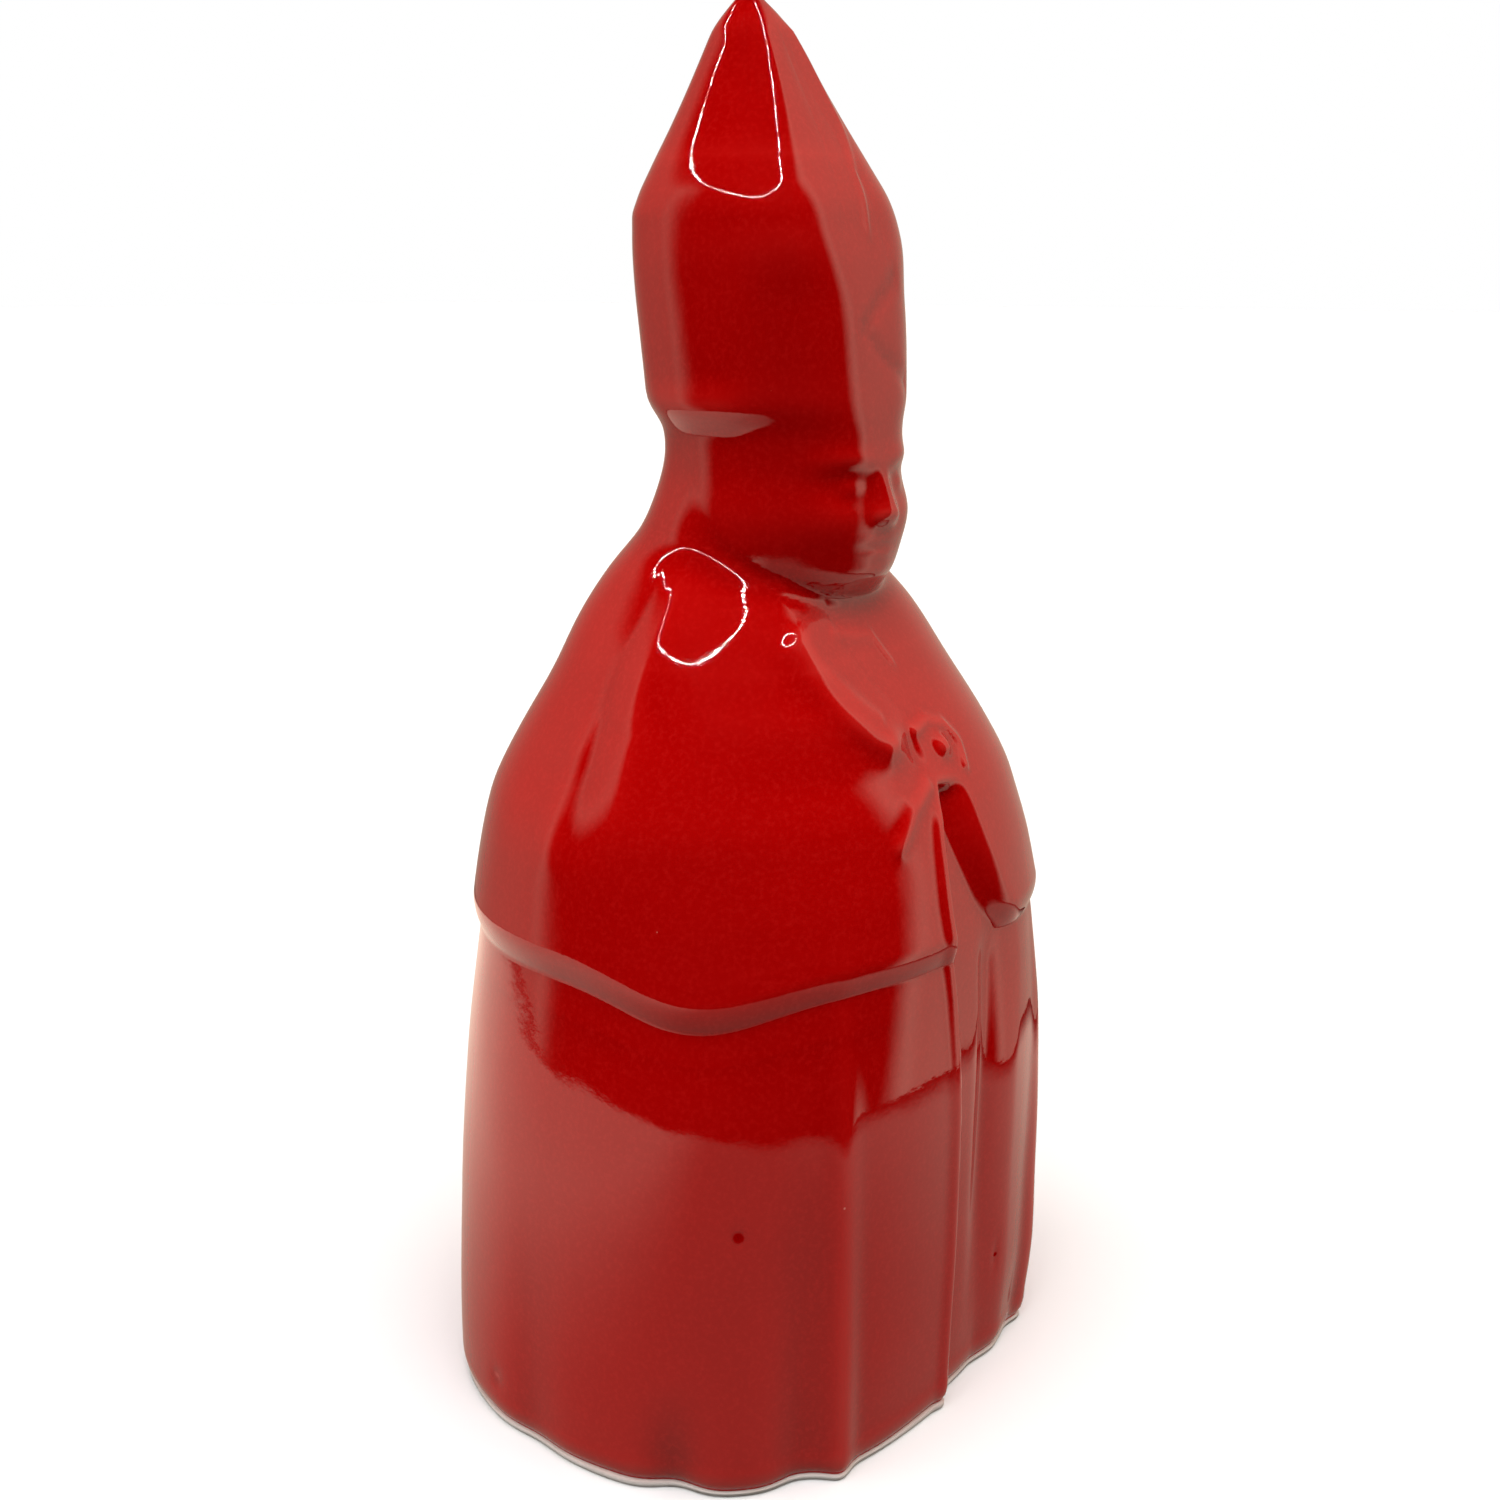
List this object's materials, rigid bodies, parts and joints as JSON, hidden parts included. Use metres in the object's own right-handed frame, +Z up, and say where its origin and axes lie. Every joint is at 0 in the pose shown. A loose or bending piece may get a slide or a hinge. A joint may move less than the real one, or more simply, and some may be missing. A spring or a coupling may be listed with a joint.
{
  "type": "bishop game piece",
  "caption": "Hollow glazed ceramic figure of a robed bishop with a pointed mitre, a shoulder cape and an open cloak, standing on a flat bare foot, used as a board-game playing piece.",
  "frame": {"origin": "centre of the footprint, on the plane that the foot rests on", "axes": "+Z up through the mitre, -Y the way the figure faces, +X its left hand"},
  "size_m": [0.0394, 0.036, 0.084],
  "materials": {
    "bisque": "matte",
    "red_glaze": "gloss"
  },
  "bodies": {
    "root": {"bisque_casting": "bisque", "glaze_coat": "red_glaze"}
  },
  "joints": []
}
